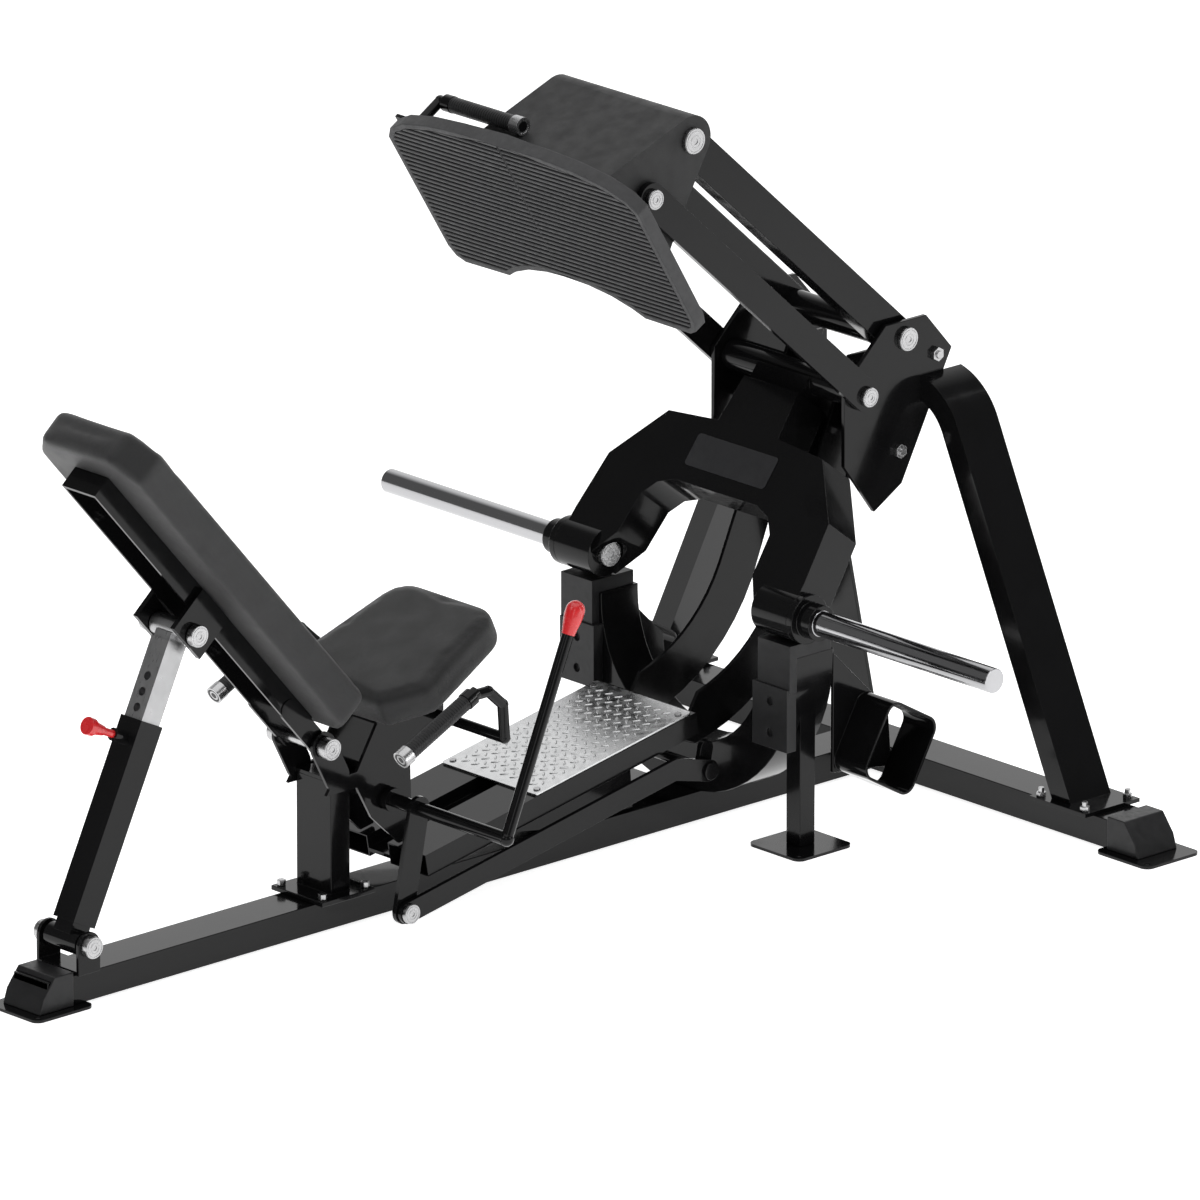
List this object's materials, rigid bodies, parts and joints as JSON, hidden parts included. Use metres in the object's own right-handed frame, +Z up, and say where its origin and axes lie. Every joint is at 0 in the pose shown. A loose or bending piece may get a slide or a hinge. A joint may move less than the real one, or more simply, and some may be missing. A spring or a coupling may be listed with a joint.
{
  "type": "leg press machine",
  "caption": "Plate-loaded leg press: reclined seat on a long base, ribbed foot plate on parallel arms, weight arch with side horns, A-shaped rear legs.",
  "frame": {"origin": "on the floor, at the centre of the footprint", "axes": "+Y from the seat end towards the tower, +X to the seated user's right, +Z up"},
  "size_m": [1.752, 2.36, 1.524],
  "materials": {
    "black_paint": "gloss powder coat",
    "textured_paint": "fine texture powder coat",
    "boot_rubber": "matte",
    "pad_vinyl": "soft grain",
    "tread_aluminium": "diamond tread",
    "foot_rubber": "ribbed",
    "red_plastic": "gloss",
    "chrome_tube": "polished",
    "bare_steel": "brushed",
    "zinc_steel": "turned",
    "grip_rubber": "knurled",
    "placard_print": "matte"
  },
  "bodies": {
    "frame": {"main_rail": "black_paint", "rear_beam": "black_paint", "front_foot": "black_paint", "rear_feet": "black_paint", "post_feet": "black_paint", "front_boot": "boot_rubber", "rear_boots": "boot_rubber", "tower_plate_right": "black_paint", "tower_plate_left": "black_paint", "spine": "black_paint", "tower_bolts": "zinc_steel", "rear_leg_right": "black_paint", "rear_leg_left": "black_paint", "leg_bolts": "zinc_steel", "stop_frame": "black_paint", "bumper_right": "boot_rubber", "bumper_left": "boot_rubber", "post_gusset_right": "black_paint", "post_gusset_left": "black_paint", "platform_beams": "black_paint", "tread_plate": "tread_aluminium", "tread_screws": "zinc_steel", "seat_post": "black_paint", "seat_frame": "black_paint", "seat_post_bolts": "zinc_steel", "seat_pad": "pad_vinyl", "seat_grab_right": "grip_rubber", "seat_grab_left": "grip_rubber", "strut_bracket": "black_paint", "strut_base_pin": "zinc_steel", "back_hinge_pin": "zinc_steel", "upper_pivot_pin": "zinc_steel"},
    "back_rest": {"back_frame": "black_paint", "back_pad": "pad_vinyl", "back_bolts": "zinc_steel", "strut_top_pin": "zinc_steel"},
    "strut": {"strut_tube": "black_paint"},
    "slider": {"strut_slider": "bare_steel"},
    "pull": {"pull_pin": "red_plastic"},
    "press_lever": {"lower_arm_right": "black_paint", "lower_arm_left": "black_paint", "lower_pivot_pin": "zinc_steel", "weight_arch": "black_paint", "placard": "placard_print", "weight_horn_right": "chrome_tube", "weight_horn_left": "chrome_tube", "horn_caps": "zinc_steel"},
    "upper_arms": {"upper_arm_right": "black_paint", "upper_arm_left": "black_paint", "upper_arm_shaft": "black_paint"},
    "head": {"head_box": "textured_paint", "head_upper_pin": "zinc_steel", "head_lower_pin": "zinc_steel", "foot_plate": "foot_rubber", "head_grab": "grip_rubber"},
    "release": {"release_lever": "black_paint", "release_knob": "red_plastic", "link_pin": "zinc_steel"},
    "catch": {"catch_link": "black_paint", "catch_shaft": "black_paint"}
  },
  "joints": [
    {"name": "press", "type": "hinge", "parent": "frame", "child": "press_lever", "pos_m": [0, 0.889, 0.857], "axis": [-1, 0, 0], "range_deg": [0, 30]},
    {"name": "upper_arm_swing", "type": "hinge", "parent": "frame", "child": "upper_arms", "pos_m": [0, 1.009, 0.948], "axis": [-1, 0, 0], "range_deg": [0, 30]},
    {"name": "head_level", "type": "hinge", "parent": "press_lever", "child": "head", "pos_m": [0, 0.31, 1.383], "axis": [-1, 0, 0], "range_deg": [-30, 0]},
    {"name": "back_recline", "type": "hinge", "parent": "frame", "child": "back_rest", "pos_m": [0, -0.421, 0.388], "axis": [1, 0, 0], "range_deg": [-8, 8]},
    {"name": "strut_swing", "type": "hinge", "parent": "frame", "child": "strut", "pos_m": [0, -1.033, 0.122], "axis": [1, 0, 0], "range_deg": [-1.7, 1.7]},
    {"name": "strut_slide", "type": "slide", "parent": "strut", "child": "slider", "axis": [0, 0.4358, 0.9], "range_m": [-0.063, 0.063]},
    {"name": "pin_pull", "type": "slide", "parent": "strut", "child": "pull", "axis": [0, -0.9, 0.4358], "range_m": [0, 0.012], "stiffness_N_per_m": 600},
    {"name": "release_swing", "type": "hinge", "parent": "frame", "child": "release", "pos_m": [0, -0.257, 0.247], "axis": [1, 0, 0], "range_deg": [0, 15]},
    {"name": "catch_level", "type": "hinge", "parent": "release", "child": "catch", "pos_m": [0.15, -0.297, 0.045], "axis": [1, 0, 0], "range_deg": [-15, 0]}
  ],
  "couplings": [
    {"joint": "upper_arm_swing", "follows": "press", "ratio": 1},
    {"joint": "head_level", "follows": "press", "ratio": -1},
    {"joint": "strut_swing", "follows": "back_recline", "ratio": 0.1977},
    {"joint": "strut_slide", "follows": "back_recline", "m_per_rad": -0.4342},
    {"joint": "catch_level", "follows": "release_swing", "ratio": -1}
  ]
}
